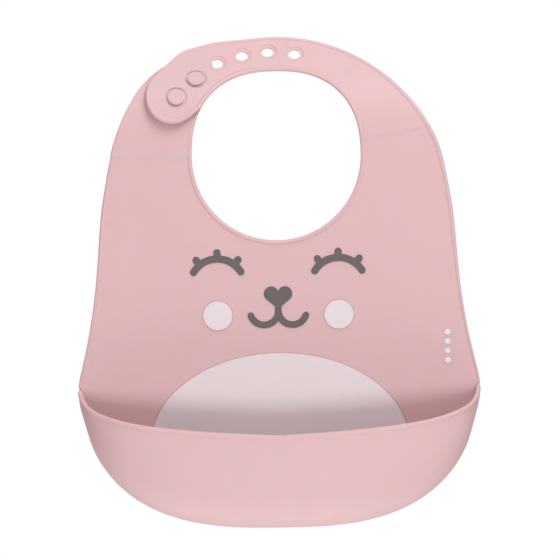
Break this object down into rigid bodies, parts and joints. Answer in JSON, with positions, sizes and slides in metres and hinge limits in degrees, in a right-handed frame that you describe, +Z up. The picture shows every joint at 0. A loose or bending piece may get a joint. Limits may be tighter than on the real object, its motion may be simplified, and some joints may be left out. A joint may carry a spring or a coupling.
{
  "type": "silicone bib",
  "caption": "Soft baby bib with a crumb pocket at its foot and a neck band that closes at the side with studs in holes.",
  "frame": {"origin": "centre of the neck opening, on the plane of the apron's back", "axes": "+Z up as worn, the front faces -Y, +X to the viewer's right"},
  "size_m": [0.23, 0.0747, 0.2785],
  "materials": {
    "apron": "matt moulded silicone",
    "pocket": "matt moulded silicone",
    "strap": "matt moulded silicone",
    "stud": "matt moulded silicone",
    "pale_inlay": "matt moulded silicone",
    "face_inlay": "matt moulded silicone",
    "mark": "matt print"
  },
  "bodies": {
    "bib": {"apron_panel": "apron", "crumb_pocket": "pocket", "belly_inlay": "pale_inlay", "cheek_left": "pale_inlay", "cheek_right": "pale_inlay", "eye_left": "face_inlay", "eye_right": "face_inlay", "nose_and_mouth": "face_inlay", "side_mark": "mark", "stud_arm": "strap", "closure_stud_lower": "stud", "closure_stud_upper": "stud"},
    "strap_root": {"strap_root": "strap"},
    "strap_mid": {"strap_mid": "strap"},
    "strap_tip": {"strap_tip": "strap"}
  },
  "joints": [
    {"name": "strap_root_flex", "type": "hinge", "parent": "bib", "child": "strap_root", "pos_m": [0.05636, 0.00224, 0.03296], "axis": [0.8329, 0.2643, 0.4862], "range_deg": [0, 50], "stiffness_Nm_per_rad": 0.02},
    {"name": "strap_mid_flex", "type": "hinge", "parent": "strap_root", "child": "strap_mid", "pos_m": [0.02526, 0.01788, 0.05478], "axis": [0.304, 0.6438, 0.7022], "range_deg": [0, 50], "stiffness_Nm_per_rad": 0.02},
    {"name": "strap_tip_flex", "type": "hinge", "parent": "strap_mid", "child": "strap_tip", "pos_m": [-0.0115, 0.01976, 0.05835], "axis": [-0.171, 0.656, 0.7351], "range_deg": [0, 60], "stiffness_Nm_per_rad": 0.02}
  ]
}
